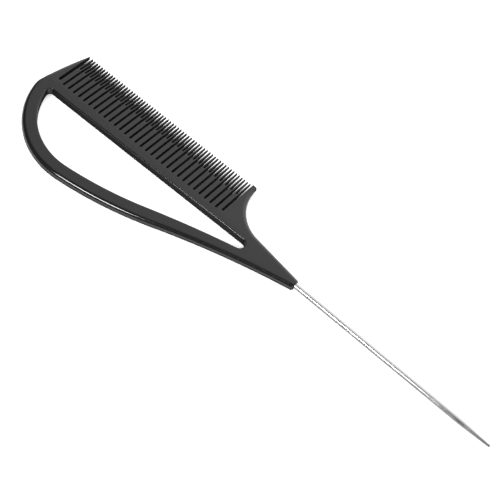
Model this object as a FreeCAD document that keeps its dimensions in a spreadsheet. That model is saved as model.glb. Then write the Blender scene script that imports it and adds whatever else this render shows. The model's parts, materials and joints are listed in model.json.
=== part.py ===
import FreeCAD, Part
import math
import os

import Sketcher

# Rat tail comb: a one-piece moulded comb with a finger loop, and a steel pin moulded into its nose.
# The design is drawn with X along the teeth from the loop to the pin, Y from the loop to the tooth
# tips (the tips lie on Y = 0) and Z through the thickness (Z = 0 is the middle of the plate).
# The middle of the first long slot is X = 0.

SIZES = [
    # name, value in mm or degrees, meaning
    ("plate_thickness", 4.0, "thickness of the spine, loop and nose"),
    ("edge_flat", 0.2, "flat strip left at mid-thickness by the outer edge's two roundings"),
    ("hole_rounding", 0.5, "small rounding of the finger hole's edges"),
    ("tooth_pitch", 1.4, "fine tooth to fine tooth"),
    ("fat_teeth", 31, "thick tooth roots, each split into two fine teeth"),
    ("long_slot_depth", 19.1, "tooth tip to the bottom of a long slot"),
    ("long_slot_width", 0.95, "gap between two thick tooth roots"),
    ("short_slot_depth", 8.3, "tooth tip to the bottom of a short slot"),
    ("short_slot_width", 0.8, "gap that splits a thick tooth"),
    ("end_slot_depth", 18.2, "depth of the first and last long slots"),
    ("end_slot_width", 1.3, "width of the first long slot, beside the guard"),
    ("end_slot_shift", 0.25, "how far the first slot leans towards the guard"),
    ("tip_rounding", 0.2, "rounding of each fine tooth's tip"),
    ("taper_depth", 19.5, "distance from the tips where the blade starts to thin"),
    ("guard_tip_thickness", 2.2, "thickness of the guard teeth at their tips"),
    ("fine_taper_depth", 9.3, "distance from the tips where the fine teeth thin further"),
    ("fine_tip_thickness", 0.9, "thickness of the fine teeth at their tips"),
    ("left_guard_tip_x", 1.5, "tip corner of the loop-side guard, left of X = 0"),
    ("left_guard_foot_x", 6.3, "foot of the loop-side guard, left of X = 0"),
    ("left_guard_foot_depth", 23.3, "depth of that foot below the tips"),
    ("left_guard_radius", 155.0, "gentle curve of the loop-side guard's back"),
    ("shoulder_radius", 10.0, "where the guard's back turns into the loop"),
    ("right_guard_width", 2.275, "width of the pin-side guard at its tip"),
    ("left_guard_rounding", 0.3, "rounding of the loop-side guard's tip, seen from above"),
    ("right_guard_rounding", 0.75, "rounding of the pin-side guard's tip, seen from above"),
    ("throat_radius", 17.4, "concave sweep from the pin-side guard to the nose"),
    ("spine_width", 4.55, "long slot bottom to the finger hole, at X = 0"),
    ("spine_taper", 0.78, "angle at which the spine narrows, degrees"),
    ("loop_centre_x", 27.9, "centre of the loop's round end"),
    ("loop_depth", 52.15, "tooth tip to the lowest point of the loop"),
    ("loop_end_radius", 35.1, "outer radius of the loop's round end"),
    ("loop_band", 6.1, "width of the loop's band"),
    ("belly_start_x", 32.2, "where the round end passes into the belly"),
    ("belly_radius", 166.0, "outer radius of the loop's belly"),
    ("flank_radius", 365.0, "concave curve from the belly to the nose"),
    ("inner_flank_radius", 420.0, "the same curve on the hole's side"),
    ("hole_corner_radius", 1.6, "corner of the finger hole near the loop-side guard"),
    ("hole_end_radius", 2.2, "rounded end of the finger hole near the nose"),
    ("hole_end_reach", 16.3, "last long slot to the finger hole's end near the nose"),
    ("nose_reach", 40.4, "last long slot to the nose's end face"),
    ("nose_low_depth", 24.98, "lower corner of the nose, below the tips"),
    ("nose_width", 4.3, "width of the nose at its end face"),
    ("nose_flank_angle", 7.9, "slope of the nose's upper flank, degrees"),
    ("nose_rim_rounding", 0.45, "rounding of the rim round the nose's end face"),
    ("tail_diameter", 2.2, "diameter of the steel pin"),
    ("tail_free_length", 90.3, "pin length outside the nose"),
    ("tail_taper_length", 13.0, "tapered length at the pin's tip"),
    ("tail_tip_diameter", 1.1, "diameter at the blunt tip"),
    ("tail_depth", 22.63, "pin axis below the tips, at the nose's end face"),
    ("tail_droop", 0.69, "angle of the pin below the tooth line, degrees"),
    ("anchor_length", 20.0, "pin length buried in the nose"),
    ("anchor_step", 0.2, "how far the buried length is turned down, all round"),
    ("anchor_grooves", 3, "retaining grooves round the buried length"),
    ("anchor_groove_width", 1.4, "width of each retaining groove"),
    ("anchor_groove_depth", 0.25, "depth of each retaining groove"),
    ("anchor_groove_inset", 3.0, "buried end to the first groove"),
    ("anchor_groove_spacing", 4.0, "groove to groove"),
    ("anchor_chamfer", 0.3, "chamfer on the buried end"),
]

XY, YZ = "XY_Plane", "YZ_Plane"
START, END, CENTRE = 1, 2, 3
FIRST_EXTERNAL = -3
UP = FreeCAD.Vector(0, 0, 1)
TIP_CLEARANCE = 1.0  # how far cutting profiles run past the tooth tips
TIP_ROUND_SHARE = 0.35  # of the blunt tip's diameter
SMALLEST_CUT = 0.005  # cubic millimetres; a cut that takes less away has missed
GUARD_CLEARANCE = 1.5  # how far a guard's trimming profile runs past its side


def point(x, y):
    return FreeCAD.Vector(x, y, 0)


def make_sheet(doc):
    """The driving dimensions, one row each: name, value, meaning."""
    sheet = doc.addObject("Spreadsheet::Sheet", "Sizes")
    for row, (name, value, meaning) in enumerate(SIZES, start=1):
        sheet.set(f"A{row}", name)
        sheet.set(f"B{row}", str(value))
        sheet.set(f"C{row}", meaning)
        sheet.setAlias(f"B{row}", name)
    doc.recompute()
    return sheet


def origin_feature(body, role):
    return next(item for item in body.Origin.OriginFeatures if item.Role == role)


class Measure:
    """A number that remembers the spreadsheet formula it comes from."""

    def __init__(self, value, formula):
        self.value = value
        self.formula = formula

    def __float__(self):
        return float(self.value)

    def __add__(self, other):
        other = measure(other)
        return Measure(self.value + other.value, f"({self.formula} + {other.formula})")

    def __sub__(self, other):
        other = measure(other)
        return Measure(self.value - other.value, f"({self.formula} - {other.formula})")

    def __mul__(self, other):
        other = measure(other)
        return Measure(self.value * other.value, f"({self.formula} * {other.formula})")

    def __truediv__(self, other):
        other = measure(other)
        return Measure(self.value / other.value, f"({self.formula} / {other.formula})")

    def __neg__(self):
        return Measure(-self.value, f"(0 - {self.formula})")

    __radd__ = __add__
    __rmul__ = __mul__


def measure(value):
    return value if isinstance(value, Measure) else Measure(value, repr(value))


def degrees(size):
    """An angle held in degrees, as a sketch wants it."""
    return Measure(math.radians(float(size)), f"{size.formula} * 1 deg")


def read_sizes(sheet):
    return {name: Measure(sheet.get(name), f"Sizes.{name}") for name, value, meaning in SIZES}


def circles_meet(centre_a, radius_a, centre_b, radius_b, left):
    """The crossing of two circles that lies left (or right) of the way from centre_a to centre_b."""
    way = centre_b - centre_a
    gap = way.Length
    along = (radius_a ** 2 - radius_b ** 2 + gap ** 2) / (2 * gap)
    aside = math.sqrt(radius_a ** 2 - along ** 2)
    way.normalize()
    side = FreeCAD.Vector(-way.y, way.x, 0) * (1 if left else -1)
    return centre_a + way * along + side * aside


class Outline:
    """A closed sketch outline, built element by element in the order it is walked round."""

    def __init__(self, body, name, role):
        self.sketch = body.newObject("Sketcher::SketchObject", name)
        self.sketch.AttachmentSupport = [(origin_feature(body, role), "")]
        self.sketch.MapMode = "FlatFace"
        self.ends = []
        self.first = 0

    def line(self, start, end):
        index = self.sketch.addGeometry(Part.LineSegment(start, end), False)
        self.ends.append((START, END))
        return index

    def arc(self, centre, start, end, clockwise):
        first, last = (end, start) if clockwise else (start, end)
        angle_first = math.atan2(first.y - centre.y, first.x - centre.x)
        angle_last = math.atan2(last.y - centre.y, last.x - centre.x)
        if angle_last < angle_first:
            angle_last += 2 * math.pi
        circle = Part.Circle(centre, UP, (start - centre).Length)
        index = self.sketch.addGeometry(Part.ArcOfCircle(circle, angle_first, angle_last), False)
        self.ends.append((END, START) if clockwise else (START, END))
        return index

    def close(self, corners=()):
        """Join each element to the next: smoothly, or at a corner after the elements listed."""
        count = len(self.ends)
        for step in range(count):
            following = (step + 1) % count
            index = self.first + step
            kind = "Coincident" if index in corners else "Tangent"
            leaving, entering = self.ends[step][1], self.ends[following][0]
            self.add(kind, index, leaving, self.first + following, entering)
        self.first = self.sketch.GeometryCount
        self.ends = []

    def polygon(self, corners):
        """Straight sides between corners given as pairs of measures, each held at its place."""
        spots = [point(float(x), float(y)) for x, y in corners]
        sides = [self.line(a, b) for a, b in zip(spots, spots[1:] + spots[:1])]
        self.close(corners=sides)
        for side, (x, y) in zip(sides, corners):
            self.place(side, START, x, y)

    def add(self, *parts):
        return self.sketch.addConstraint(Sketcher.Constraint(*parts))

    def bind(self, size, *parts):
        """Add a dimension and tie it to the spreadsheet."""
        index = self.add(*parts, abs(float(size)))
        self.sketch.setExpression(f"Constraints[{index}]", size.formula)

    def place(self, element, where, x=None, y=None):
        """Hold a point at measured distances from the sketch's axes."""
        for kind, axis, size in (("DistanceX", -2, x), ("DistanceY", -1, y)):
            if size is None:
                continue
            size = measure(size)
            if abs(float(size)) < 1e-9:
                self.add("PointOnObject", element, where, axis)
            elif float(size) > 0:
                self.bind(size, kind, -1, START, element, where)
            else:
                self.bind(-size, kind, element, where, -1, START)

    def passes(self, element, x, y):
        """Make an element, or the line or circle it lies on, pass through a point."""
        spot = Part.Point(point(float(measure(x)), float(measure(y))))
        marker = self.sketch.addGeometry(spot, True)
        self.place(marker, START, x, y)
        self.add("PointOnObject", marker, START, element)
        return marker

    def radius(self, element, size):
        self.bind(size, "Radius", element)

    def done(self):
        """The finished sketch, with every freedom taken up."""
        freedom = self.sketch.solve()
        if freedom != 0 or not self.sketch.FullyConstrained:
            raise RuntimeError(f"{self.sketch.Name} is not fully dimensioned ({freedom})")
        return self.sketch


def row_length(size):
    """First long slot to the last one, middle to middle."""
    return size["tooth_pitch"] * 2 * size["fat_teeth"]


def nose_end(size):
    """Place of the nose's end face along X."""
    return row_length(size) + size["nose_reach"]


def loop_circles(size):
    """Centres of the loop's three outer arcs and the direction of their first joint."""
    end_radius = float(size["loop_end_radius"])
    belly_radius = float(size["belly_radius"])
    flank_radius = float(size["flank_radius"])
    end = point(float(size["loop_centre_x"]), end_radius - float(size["loop_depth"]))
    lean = (float(size["belly_start_x"]) - end.x) / end_radius
    outward = point(lean, -math.sqrt(1 - lean ** 2))
    belly = end - outward * (belly_radius - end_radius)
    nose_low = point(float(nose_end(size)), -float(size["nose_low_depth"]))
    flank = circles_meet(belly, belly_radius + flank_radius, nose_low, flank_radius, left=False)
    return end, belly, flank, outward


def guard_tips(size):
    """Tip corners of the two guards as measures along X."""
    left = -size["left_guard_tip_x"]
    right = row_length(size) + size["long_slot_width"] / 2 + size["right_guard_width"]
    return left, right


def guard_circles(size):
    """Centres of the loop-side guard's back and of the throat, and where the throat's arc ends."""
    left_x, right_x = guard_tips(size)
    back_radius = float(size["left_guard_radius"])
    throat_radius = float(size["throat_radius"])
    foot = point(-float(size["left_guard_foot_x"]), -float(size["left_guard_foot_depth"]))
    back = circles_meet(foot, back_radius, point(float(left_x), 0), back_radius, left=False)
    # the throat's centre lies one radius above the nose's flank and one radius from the tip corner
    slope = math.radians(float(size["nose_flank_angle"]))
    along = point(-math.cos(slope), math.sin(slope))
    above = point(math.sin(slope), math.cos(slope))
    nose_low = point(float(nose_end(size)), -float(size["nose_low_depth"]))
    nose_high = nose_low + point(0, float(size["nose_width"]))
    to_tip = point(float(right_x), 0) - nose_high
    aside = math.sqrt(throat_radius ** 2 - (to_tip.dot(above) - throat_radius) ** 2)
    touch = nose_high + along * (to_tip.dot(along) - aside)
    return back, touch + above * throat_radius, touch


def tip_round(size, circle, rounding, right):
    """Centre of a guard tip's round and where it touches the guard's side."""
    side = float(size["throat_radius"] if right else size["left_guard_radius"])
    reach = side + rounding if right else side - rounding
    centre = point(circle.x - math.sqrt(reach ** 2 - (circle.y + rounding) ** 2), -rounding)
    return centre, circle + (centre - circle) * (side / reach)


def draw_plate(body, size):
    """Outer outline: nose, flank, belly, round end, shoulder, guards and throat."""
    end, belly, flank, outward = loop_circles(size)
    back, throat, touch = guard_circles(size)
    left_x, right_x = guard_tips(size)
    end_radius, belly_radius = float(size["loop_end_radius"]), float(size["belly_radius"])
    back_radius, turn = float(size["left_guard_radius"]), float(size["shoulder_radius"])
    nose_low = point(float(nose_end(size)), -float(size["nose_low_depth"]))
    nose_high = nose_low + point(0, float(size["nose_width"]))
    flank_to_belly = belly + (flank - belly) * (belly_radius / (flank - belly).Length)
    belly_to_end = end + outward * end_radius
    shoulder = circles_meet(end, end_radius - turn, back, back_radius - turn, left=False)
    end_to_shoulder = end + (shoulder - end) * (end_radius / (end_radius - turn))
    shoulder_to_back = back + (shoulder - back) * (back_radius / (back_radius - turn))
    left_tip, right_tip = point(float(left_x), 0), point(float(right_x), 0)

    outline = Outline(body, "plate_outline", XY)
    lower_flank = outline.arc(flank, nose_low, flank_to_belly, clockwise=False)
    belly_arc = outline.arc(belly, flank_to_belly, belly_to_end, clockwise=True)
    end_arc = outline.arc(end, belly_to_end, end_to_shoulder, clockwise=True)
    shoulder_arc = outline.arc(shoulder, end_to_shoulder, shoulder_to_back, clockwise=True)
    back_arc = outline.arc(back, shoulder_to_back, left_tip, clockwise=True)
    tip_line = outline.line(left_tip, right_tip)
    throat_arc = outline.arc(throat, right_tip, touch, clockwise=False)
    upper_flank = outline.line(touch, nose_high)
    nose_face = outline.line(nose_high, nose_low)
    outline.close(corners=(back_arc, tip_line, upper_flank, nose_face))

    outline.radius(lower_flank, size["flank_radius"])
    outline.radius(belly_arc, size["belly_radius"])
    outline.radius(end_arc, size["loop_end_radius"])
    outline.radius(shoulder_arc, size["shoulder_radius"])
    outline.radius(back_arc, size["left_guard_radius"])
    outline.radius(throat_arc, size["throat_radius"])
    outline.place(end_arc, CENTRE, size["loop_centre_x"], size["loop_end_radius"] - size["loop_depth"])
    outline.place(end_arc, END, x=size["belly_start_x"])
    outline.passes(back_arc, -size["left_guard_foot_x"], -size["left_guard_foot_depth"])
    outline.place(tip_line, START, left_x, 0)
    outline.place(tip_line, END, right_x, 0)
    outline.place(nose_face, START, nose_end(size), size["nose_width"] - size["nose_low_depth"])
    outline.place(nose_face, END, nose_end(size), -size["nose_low_depth"])
    outline.bind(degrees(size["nose_flank_angle"]), "Angle", upper_flank, -1)
    return outline.done(), back_arc, throat_arc


def draw_finger_hole(body, size):
    """Hole outline: straight along the spine, then round at a constant band inside the loop."""
    end, belly, flank, outward = loop_circles(size)
    inner_end = size["loop_end_radius"] - size["loop_band"]
    inner_belly = size["belly_radius"] - size["loop_band"]
    inner_flank, tip = float(size["inner_flank_radius"]), float(size["hole_end_radius"])
    corner = float(size["hole_corner_radius"])
    taper = math.radians(float(size["spine_taper"]))
    along = point(math.cos(taper), math.sin(taper))
    down = point(math.sin(taper), -math.cos(taper))
    edge_depth = size["long_slot_depth"] + size["spine_width"]
    edge = point(0, -float(edge_depth))

    tip_x = row_length(size) + size["hole_end_reach"] - size["hole_end_radius"]
    tip_centre = edge + down * tip
    tip_centre += along * ((float(tip_x) - tip_centre.x) / along.x)
    apart = inner_flank + tip
    flank = circles_meet(belly, float(inner_belly) + inner_flank, tip_centre, apart, left=False)
    corner_centre = edge + down * corner
    to_start = corner_centre - end
    reach = float(inner_end) - corner
    start_along = to_start.dot(along)
    aside = to_start.dot(to_start) - start_along ** 2
    corner_centre -= along * (start_along + math.sqrt(reach ** 2 - aside))

    tip_to_flank = tip_centre + (flank - tip_centre) * (tip / apart)
    flank_to_belly = belly + (flank - belly) * (float(inner_belly) / (flank - belly).Length)
    belly_to_end = end + outward * float(inner_end)
    end_to_corner = end + (corner_centre - end) * (float(inner_end) / reach)

    outline = Outline(body, "finger_hole_outline", XY)
    spine_line = outline.line(corner_centre - down * corner, tip_centre - down * tip)
    tip_arc = outline.arc(tip_centre, tip_centre - down * tip, tip_to_flank, clockwise=True)
    flank_arc = outline.arc(flank, tip_to_flank, flank_to_belly, clockwise=False)
    belly_arc = outline.arc(belly, flank_to_belly, belly_to_end, clockwise=True)
    end_arc = outline.arc(end, belly_to_end, end_to_corner, clockwise=True)
    corner_arc = outline.arc(corner_centre, end_to_corner, corner_centre - down * corner, clockwise=True)
    outline.close()

    outline.radius(tip_arc, size["hole_end_radius"])
    outline.radius(flank_arc, size["inner_flank_radius"])
    outline.radius(belly_arc, inner_belly)
    outline.radius(end_arc, inner_end)
    outline.radius(corner_arc, size["hole_corner_radius"])
    outline.passes(spine_line, 0, -edge_depth)
    outline.bind(degrees(size["spine_taper"]), "Angle", -1, spine_line)
    outline.place(tip_arc, CENTRE, x=tip_x)
    outline.place(end_arc, CENTRE, size["loop_centre_x"], size["loop_end_radius"] - size["loop_depth"])
    lean = (size["belly_start_x"] - size["loop_centre_x"]) / size["loop_end_radius"]
    outline.place(end_arc, END, x=size["loop_centre_x"] + lean * inner_end)
    return outline.done()


def draw_slot(body, name, size, middle, width, depth):
    """One gap between teeth: round bottom, straight walls, and a mouth that rounds the tooth tips."""
    half = width / 2
    tip = size["tip_rounding"]
    left, right = middle - half, middle + half
    outer_left, outer_right = left - tip, right + tip
    bottom = half - depth
    over = measure(TIP_CLEARANCE)

    def spot(x, y):
        return point(float(x), float(y))

    outline = Outline(body, name, XY)
    mouth_right = outline.line(spot(outer_right, 0), spot(outer_right, over))
    lid = outline.line(spot(outer_right, over), spot(outer_left, over))
    mouth_left = outline.line(spot(outer_left, over), spot(outer_left, 0))
    tip_left = outline.arc(spot(outer_left, -tip), spot(outer_left, 0), spot(left, -tip), True)
    wall_left = outline.line(spot(left, -tip), spot(left, bottom))
    floor = outline.arc(spot(middle, bottom), spot(left, bottom), spot(right, bottom), False)
    wall_right = outline.line(spot(right, bottom), spot(right, -tip))
    tip_right = outline.arc(spot(outer_right, -tip), spot(right, -tip), spot(outer_right, 0), True)
    outline.close(corners=(mouth_right, lid, mouth_left, tip_right))

    outline.radius(floor, half)
    outline.place(floor, CENTRE, middle, bottom)
    for wall in (wall_left, wall_right, mouth_left, mouth_right):
        outline.add("Vertical", wall)
    outline.add("Horizontal", lid)
    outline.place(lid, START, y=over)
    for tip_arc in (tip_left, tip_right):
        outline.radius(tip_arc, tip)
        outline.place(tip_arc, CENTRE, y=-tip)
    outline.add("Vertical", mouth_left, END, tip_left, CENTRE)
    outline.add("Vertical", mouth_right, START, tip_right, CENTRE)
    return outline.done()


def draw_tip_trim(body, name, rounding, plate, edge, centre, touch, right):
    """The corner that is cut off a guard's tip: everything outside a small round."""
    side = 1 if right else -1
    over = measure(TIP_CLEARANCE)
    reach = rounding + GUARD_CLEARANCE
    top, above = point(centre.x, 0), point(centre.x, TIP_CLEARANCE)
    far = above + point(side * float(reach), 0)
    low = point(far.x, touch.y)
    outline = Outline(body, name, XY)
    riser = outline.line(top, above)
    lid = outline.line(above, far)
    drop = outline.line(far, low)
    foot = outline.line(low, touch)
    round_arc = outline.arc(centre, touch, top, clockwise=not right)
    leaving = outline.ends[-1][0]
    outline.close(corners=range(5))
    outline.sketch.addExternal(plate.Name, f"Edge{edge + 1}")
    outline.radius(round_arc, rounding)
    outline.place(round_arc, CENTRE, y=-rounding)
    outline.add("Tangent", round_arc, leaving, FIRST_EXTERNAL)
    outline.add("Vertical", riser, START, round_arc, CENTRE)
    outline.add("Vertical", riser)
    outline.add("Horizontal", lid)
    outline.add("Vertical", drop)
    outline.add("Horizontal", foot)
    outline.place(lid, START, y=over)
    ends = (lid, START, lid, END) if right else (lid, END, lid, START)
    outline.bind(reach, "DistanceX", *ends)
    return outline.done()


def draw_taper(body, name, size, start_depth, start_half, tip_half):
    """Two wedges, above and below the blade, that thin it towards the tips."""
    over = measure(TIP_CLEARANCE)
    lid = size["plate_thickness"] / 2 + over
    outline = Outline(body, name, YZ)
    past = tip_half - (start_half - tip_half) / start_depth * over
    outline.polygon([(-start_depth, start_half), (over, past), (over, lid), (-start_depth, lid)])
    outline.polygon([(-start_depth, -start_half), (-start_depth, -lid), (over, -lid), (over, -past)])
    return outline.done()


def shank_corners(size):
    """Half profile of the buried shank and its shoulder at the nose face: pairs of place and radius."""
    full = size["tail_diameter"] / 2
    shank = full - size["anchor_step"]
    waist = shank - size["anchor_groove_depth"]
    end = -size["anchor_length"]
    corners = [(end, measure(0)), (end, shank - size["anchor_chamfer"])]
    corners.append((end + size["anchor_chamfer"], shank))
    for groove in range(int(float(size["anchor_grooves"]))):
        near = end + size["anchor_groove_inset"] + size["anchor_groove_spacing"] * groove
        far = near + size["anchor_groove_width"]
        corners += [(near, shank), (near, waist), (far, waist), (far, shank)]
    return corners + [(measure(0), shank), (measure(0), full)]


def draw_cavity(body, size):
    """The space that the buried shank fills, opened through the nose's end face."""
    past = size["nose_rim_rounding"] + TIP_CLEARANCE
    full = size["tail_diameter"] / 2
    outline = Outline(body, "cavity_profile", XY)
    outline.sketch.AttachmentOffset = FreeCAD.Placement(pin_foot(size), pin_turn(size))
    outline.polygon(shank_corners(size) + [(past, full), (past, measure(0))])
    sketch = outline.done()
    sketch.setExpression("AttachmentOffset.Base.x", nose_end(size).formula)
    sketch.setExpression("AttachmentOffset.Base.y", (-size["tail_depth"]).formula)
    return sketch


def draw_pin(body, size):
    """The whole pin's half profile: shank, straight stretch, taper and blunt tip."""
    full, blunt = size["tail_diameter"] / 2, size["tail_tip_diameter"] / 2
    tip = size["tail_free_length"]
    taper = tip - size["tail_taper_length"]
    outline = Outline(body, "pin_profile", XY)
    outline.polygon(shank_corners(size) + [(taper, full), (tip, blunt), (tip, measure(0))])
    return outline.done()


def pin_foot(size):
    return point(float(nose_end(size)), -float(size["tail_depth"]))


def pin_turn(size):
    return FreeCAD.Rotation(UP, -float(size["tail_droop"]))


def feature(body, kind, name, **settings):
    """Add a PartDesign feature; settings that are measures are tied to the spreadsheet."""
    item = body.newObject(f"PartDesign::{kind}", name)
    for key, value in settings.items():
        if isinstance(value, Measure):
            item.setExpression(key, value.formula)
        else:
            setattr(item, key, value)
    return item


def built(body, item, change=0):
    """Recompute and check a feature; change says whether it adds (1) or removes (-1) material."""
    before = body.Shape.copy()
    body.Tip = item
    body.Document.recompute()
    if "Invalid" in item.State or "Error" in item.State or item.Shape.isNull():
        raise RuntimeError(f"{item.Name} failed: {item.State}")
    if change > 0 and item.Shape.Volume <= 0:
        raise RuntimeError(f"{item.Name} adds nothing")
    if change < 0 and before.cut(item.Shape).Volume < SMALLEST_CUT:
        raise RuntimeError(f"{item.Name} cuts nothing")
    return item


def edges_where(shape, wanted):
    """Names of the edges whose middle point passes a test."""
    names = []
    for number, edge in enumerate(shape.Edges, start=1):
        middle = edge.valueAt((edge.FirstParameter + edge.LastParameter) / 2)
        if wanted(edge, middle):
            names.append(f"Edge{number}")
    return names


def lies_over(sketch, spot):
    """Whether a point lies above or below a sketch's outline."""
    return Part.Vertex(point(spot.x, spot.y)).distToShape(sketch.Shape)[0] < 1e-5


def round_edges(body, name, radius, wanted):
    base = body.Tip
    names = edges_where(base.Shape, wanted)
    return built(body, feature(body, "Fillet", name, Base=(base, names), Radius=radius), -1)


def cut_row(body, size, name, sketch, repeats):
    """Cut one slot through the plate and repeat it along X at twice the tooth pitch."""
    depth = size["plate_thickness"] * 2
    slot = built(body, feature(body, "Pocket", name, Profile=sketch, Length=depth,
                               SideType="Symmetric"), -1)
    row = feature(body, "LinearPattern", f"{name}_row", Originals=[slot], Mode="Spacing",
                  Direction=(origin_feature(body, "X_Axis"), [""]),
                  Offset=size["tooth_pitch"] * 2, Occurrences=repeats)
    return built(body, row, -1)


def make_comb(doc, size):
    """The moulded comb: plate, half-round outer edge, tapered blade, finger hole, teeth, cavity."""
    body = doc.addObject("PartDesign::Body", "comb_body")
    body.Label = "comb_body"
    thickness = size["plate_thickness"]
    half = float(thickness) / 2
    through = thickness * 2

    def on_face(middle):
        return abs(abs(middle.z) - half) < 1e-6

    plate, back_edge, throat_edge = draw_plate(body, size)
    built(body, feature(body, "Pad", "plate", Profile=plate, Length=thickness, SideType="Symmetric"), 1)
    nose_x = float(nose_end(size))
    round_edges(body, "outer_edge", (thickness - size["edge_flat"]) / 2,
                lambda edge, middle: on_face(middle) and middle.y < -1e-6 and middle.x < nose_x - 1e-6)
    round_edges(body, "nose_rim", size["nose_rim_rounding"],
                lambda edge, middle: abs(middle.x - nose_x) < 1e-6)

    hole = draw_finger_hole(body, size)
    built(body, feature(body, "Pocket", "finger_hole", Profile=hole, Length=through,
                        SideType="Symmetric"), -1)
    round_edges(body, "hole_edges", size["hole_rounding"],
                lambda edge, middle: on_face(middle) and lies_over(hole, middle))

    full_half, guard_half = thickness / 2, size["guard_tip_thickness"] / 2
    sketch = draw_taper(body, "blade_taper_profile", size, size["taper_depth"], full_half, guard_half)
    built(body, feature(body, "Pocket", "blade_taper", Profile=sketch, Length=nose_end(size) * 4,
                        SideType="Symmetric"), -1)
    fine_start = size["fine_taper_depth"]
    shrink = (full_half - guard_half) / size["taper_depth"]
    fine_half = guard_half + shrink * fine_start
    sketch = draw_taper(body, "fine_taper_profile", size, fine_start, fine_half,
                        size["fine_tip_thickness"] / 2)
    built(body, feature(body, "Pocket", "fine_taper", Profile=sketch, Length=row_length(size),
                        Reversed=True), -1)

    back, throat, touch = guard_circles(size)
    for name, edge, circle, rounding, right in (
            ("left_guard_tip", back_edge, back, size["left_guard_rounding"], False),
            ("right_guard_tip", throat_edge, throat, size["right_guard_rounding"], True)):
        centre, contact = tip_round(size, circle, float(rounding), right)
        sketch = draw_tip_trim(body, f"{name}_profile", rounding, plate, edge, centre, contact, right)
        built(body, feature(body, "Pocket", name, Profile=sketch, Length=through,
                            SideType="Symmetric"), -1)

    pitch, long_width = size["tooth_pitch"], size["long_slot_width"]
    first = draw_slot(body, "first_slot_profile", size, -size["end_slot_shift"],
                      size["end_slot_width"], size["end_slot_depth"])
    built(body, feature(body, "Pocket", "first_slot", Profile=first, Length=through,
                        SideType="Symmetric"), -1)
    last = draw_slot(body, "last_slot_profile", size, row_length(size), long_width,
                     size["end_slot_depth"])
    built(body, feature(body, "Pocket", "last_slot", Profile=last, Length=through,
                        SideType="Symmetric"), -1)
    long_slot = draw_slot(body, "long_slot_profile", size, pitch * 2, long_width,
                          size["long_slot_depth"])
    cut_row(body, size, "long_slot", long_slot, size["fat_teeth"] - 1)
    short_slot = draw_slot(body, "short_slot_profile", size, pitch, size["short_slot_width"],
                           size["short_slot_depth"])
    cut_row(body, size, "short_slot", short_slot, size["fat_teeth"])

    cavity = draw_cavity(body, size)
    built(body, feature(body, "Groove", "pin_cavity", Profile=cavity,
                        ReferenceAxis=(cavity, ["H_Axis"]), Angle=360), -1)
    return body


def make_pin(doc, size):
    """The steel pin, turned about its own axis, with its nose face crossing at X = 0."""
    body = doc.addObject("PartDesign::Body", "tail_pin")
    body.Label = "tail_pin"
    profile = draw_pin(body, size)
    built(body, feature(body, "Revolution", "pin", Profile=profile,
                        ReferenceAxis=(profile, ["H_Axis"]), Angle=360), 1)
    tip_x = float(size["tail_free_length"])
    round_edges(body, "blunt_tip", size["tail_tip_diameter"] * TIP_ROUND_SHARE,
                lambda edge, middle: abs(middle.x - tip_x) < 1e-6 and edge.Closed)
    return body


def set_down(comb, pin, size):
    """Stand the comb on its underside, with the origin under the middle of the whole object."""
    pin.Placement = FreeCAD.Placement(pin_foot(size), pin_turn(size))
    comb.Document.recompute()
    box = comb.Shape.optimalBoundingBox(False, False)
    box.add(pin.Shape.optimalBoundingBox(False, False))
    shift = FreeCAD.Vector(-box.Center.x, -box.Center.y, float(size["plate_thickness"]) / 2)
    for body in (comb, pin):
        body.Placement = FreeCAD.Placement(shift, FreeCAD.Rotation()).multiply(body.Placement)
    comb.Document.recompute()
    return shift, box


def main():
    doc = FreeCAD.newDocument("rat_tail_comb")
    sheet = make_sheet(doc)
    size = read_sizes(sheet)
    comb = make_comb(doc, size)
    pin = make_pin(doc, size)
    shift, box = set_down(comb, pin, size)
    for item in doc.Objects:
        if "Invalid" in item.State or "Error" in item.State:
            raise RuntimeError(f"{item.Name} failed: {item.State}")
    os.makedirs("parts", exist_ok=True)
    for body in (comb, pin):
        shape = body.Shape
        if shape.isNull() or not shape.isValid() or len(shape.Solids) != 1:
            raise RuntimeError(f"{body.Label} is not one valid solid")
        shape.exportStep(f"parts/{body.Label}.step")
        print(body.Label, "volume", round(shape.Volume, 1), "faces", len(shape.Faces))
    print("shift", [round(value, 4) for value in shift])
    print("box", [round(value, 3) for value in (box.XLength, box.YLength, box.ZLength)])


main()
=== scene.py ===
"""Rat tail comb: the moulded comb and its steel tail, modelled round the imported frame.

Everything is in metres, in the frame's own axes: X runs along the teeth towards the tail's tip,
Y from the loop towards the tooth tips, Z up out of the comb's flat side.
"""

import json
import math

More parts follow.
